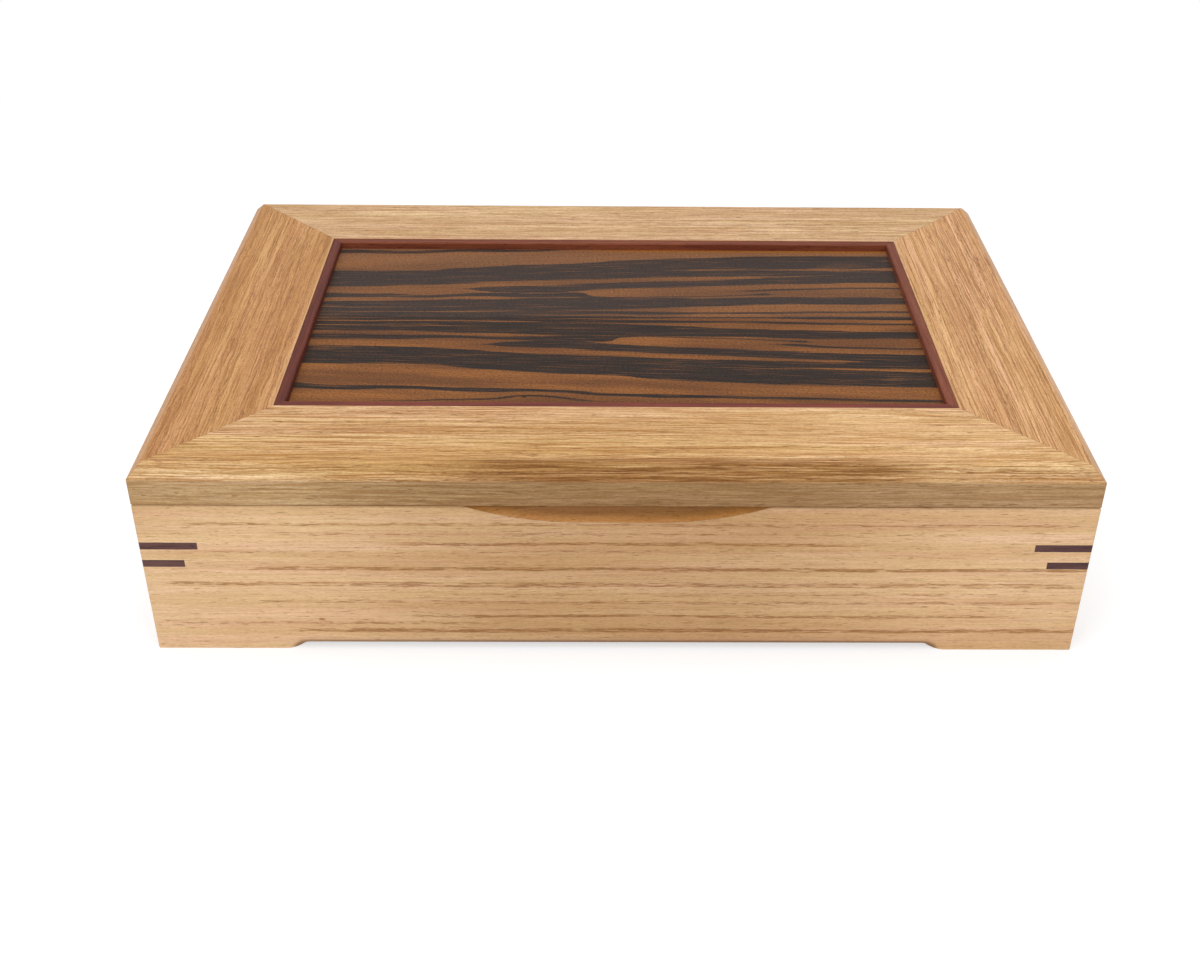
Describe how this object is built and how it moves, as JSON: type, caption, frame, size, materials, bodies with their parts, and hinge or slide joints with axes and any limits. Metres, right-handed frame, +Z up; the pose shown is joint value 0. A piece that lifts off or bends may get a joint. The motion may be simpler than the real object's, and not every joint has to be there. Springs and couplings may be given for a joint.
{
  "type": "document box",
  "caption": "Mitred oak document box with corner keys, a finger scoop and a framed lid with a dark striped veneer panel that opens on brass stop hinges.",
  "frame": {"origin": "on the table, under the middle of the closed box's outline with the hinges included", "axes": "+X to the right along the long side, +Y from the front with the finger scoop to the hinged back, +Z up"},
  "size_m": [0.36, 0.255, 0.0837],
  "materials": {
    "oak": "satin lacquered light oak, straight grain along each board",
    "key_wood": "satin dark purple-brown hardwood",
    "trim_wood": "satin dark red hardwood",
    "striped_ebony": "satin striped ebony veneer, black and brown streaks along the lid",
    "panel_core": "raw fibreboard",
    "backing_veneer": "satin oak veneer",
    "plywood": "sanded birch plywood",
    "suede": "dark brown suede",
    "brass": "brushed solid brass"
  },
  "bodies": {
    "box": {"front_side": "oak", "right_side": "oak", "back_side": "oak", "left_side": "oak", "corner_key_front_right_upper": "key_wood", "corner_key_front_right_lower": "key_wood", "corner_key_back_right_upper": "key_wood", "corner_key_back_right_lower": "key_wood", "corner_key_back_left_upper": "key_wood", "corner_key_back_left_lower": "key_wood", "corner_key_front_left_upper": "key_wood", "corner_key_front_left_lower": "key_wood", "base_panel": "plywood", "base_lining": "suede", "hinge_left_body_leaf": "brass", "hinge_left_pin": "brass", "hinge_left_body_screws": "brass", "hinge_right_body_leaf": "brass", "hinge_right_pin": "brass", "hinge_right_body_screws": "brass"},
    "lid": {"lid_front_rail": "oak", "lid_right_rail": "oak", "lid_back_rail": "oak", "lid_left_rail": "oak", "mitre_tongue_front_right": "plywood", "mitre_tongue_back_right": "plywood", "mitre_tongue_back_left": "plywood", "mitre_tongue_front_left": "plywood", "lid_trim_front": "trim_wood", "lid_trim_right": "trim_wood", "lid_trim_back": "trim_wood", "lid_trim_left": "trim_wood", "lid_panel_backing": "backing_veneer", "lid_panel_core": "panel_core", "lid_panel_veneer": "striped_ebony", "hinge_left_lid_leaf": "brass", "hinge_left_lid_screws": "brass", "hinge_right_lid_leaf": "brass", "hinge_right_lid_screws": "brass"}
  },
  "joints": [
    {"name": "lid_hinge", "type": "hinge", "parent": "box", "child": "lid", "pos_m": [0, 0.1235, 0.06755], "axis": [-1, 0, 0], "range_deg": [0, 95]}
  ]
}
